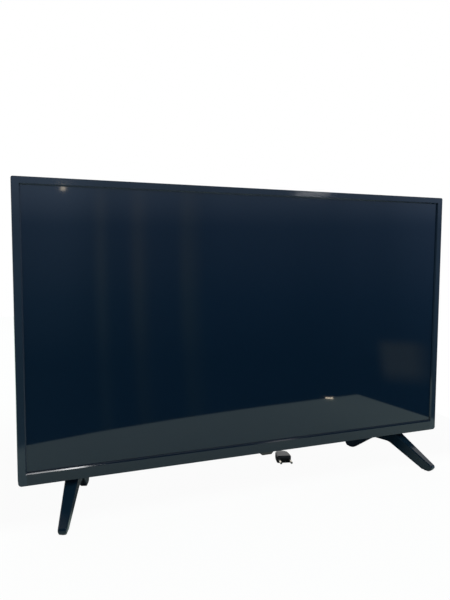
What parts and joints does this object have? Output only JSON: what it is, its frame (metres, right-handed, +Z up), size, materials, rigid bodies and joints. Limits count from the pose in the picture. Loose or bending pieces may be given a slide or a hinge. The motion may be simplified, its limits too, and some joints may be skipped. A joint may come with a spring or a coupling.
{
  "type": "flat screen television",
  "caption": "Flat screen television with a slim glossy black bezel on inverted-V feet, with rear hump, connector bay, wall-mount bosses and a coiled mains lead.",
  "frame": {"origin": "on the table, midway between the toes of the two feet", "axes": "+X along the screen to the viewer's right, +Y away from the viewer, +Z up"},
  "size_m": [0.728, 0.3263, 0.479],
  "materials": {
    "bare_aluminium": "bare extrusion",
    "bezel_gloss_black": "glossy black moulded",
    "black_aluminium": "black extrusion",
    "black_steel": "black zinc plated",
    "capacitor_sleeve": "black sleeve",
    "chip_black": "moulded chip",
    "circuit_board": "green lacquered board",
    "clear_lens": "clear moulded lens",
    "clear_sheet": "ribbed clear film",
    "cone_paper": "black paper cone",
    "cover_textured_black": "fine textured black",
    "ferrite": "ferrite and winding",
    "foam": "foam tape",
    "foot_gloss_black": "glossy black moulded",
    "galvanised_steel": "galvanised sheet",
    "inner_black_plastic": "matt black",
    "jack_plastic": "coloured jacks",
    "lead_black": "black sheathed lead",
    "light_board": "white coated board",
    "pad_rubber": "matt rubber",
    "pin_brass": "nickel plated brass",
    "plug_black": "black moulded plug",
    "screen_glass": "dark glass, switched off",
    "smoked_window": "dark smoked clear plastic",
    "socket_metal": "nickel plated shell",
    "tan_board": "tan paper board",
    "tie_black": "woven strap",
    "white_cable": "flat white cable",
    "white_sheet": "white film",
    "zinc_steel": "zinc plated"
  },
  "bodies": {
    "set": {"aerial_socket": "socket_metal", "audio_video_jacks": "jack_plastic", "backlight_pan": "galvanised_steel", "board_screws": "zinc_steel", "board_standoffs": "zinc_steel", "capacitors": "capacitor_sleeve", "coil_tie": "tie_black", "cover_screws": "black_steel", "data_socket": "socket_metal", "diffuser_plate": "white_sheet", "diffuser_sheet": "white_sheet", "flat_cable": "white_cable", "foot_brackets": "galvanised_steel", "foot_left": "foot_gloss_black", "foot_pads": "pad_rubber", "foot_right": "foot_gloss_black", "foot_screws": "black_steel", "front_bezel": "bezel_gloss_black", "headphone_socket": "inner_black_plastic", "infrared_receiver": "chip_black", "key_board": "circuit_board", "lcd_cell": "screen_glass", "lead_coil": "lead_black", "lead_first_stretch": "lead_black", "lead_last_stretch": "lead_black", "light_chips": "white_sheet", "light_lenses": "clear_lens", "light_strips": "light_board", "main_board": "circuit_board", "mid_frame": "inner_black_plastic", "optical_socket": "inner_black_plastic", "panel_gasket": "foam", "picture_sockets": "socket_metal", "plug_body": "plug_black", "plug_pins": "pin_brass", "port_plate": "inner_black_plastic", "power_board": "tan_board", "power_heat_sink": "bare_aluminium", "prism_sheet": "clear_sheet", "processor": "chip_black", "processor_heat_sink": "black_aluminium", "rear_cover": "cover_textured_black", "receiver_window": "smoked_window", "reflector_sheet": "white_sheet", "source_board": "circuit_board", "speaker_box_left": "inner_black_plastic", "speaker_box_right": "inner_black_plastic", "speaker_cones": "cone_paper", "strain_relief": "lead_black", "switch_body": "chip_black", "transformer": "ferrite", "wall_mount_standoffs": "zinc_steel"},
    "power_key": {"power_button": "cover_textured_black", "switch_plunger": "inner_black_plastic"}
  },
  "joints": [
    {"name": "power_key_press", "type": "slide", "parent": "set", "child": "power_key", "axis": [0, 0, 1], "range_m": [0, 0.0005], "stiffness_N_per_m": 3000, "springref_m": -0.0002}
  ]
}
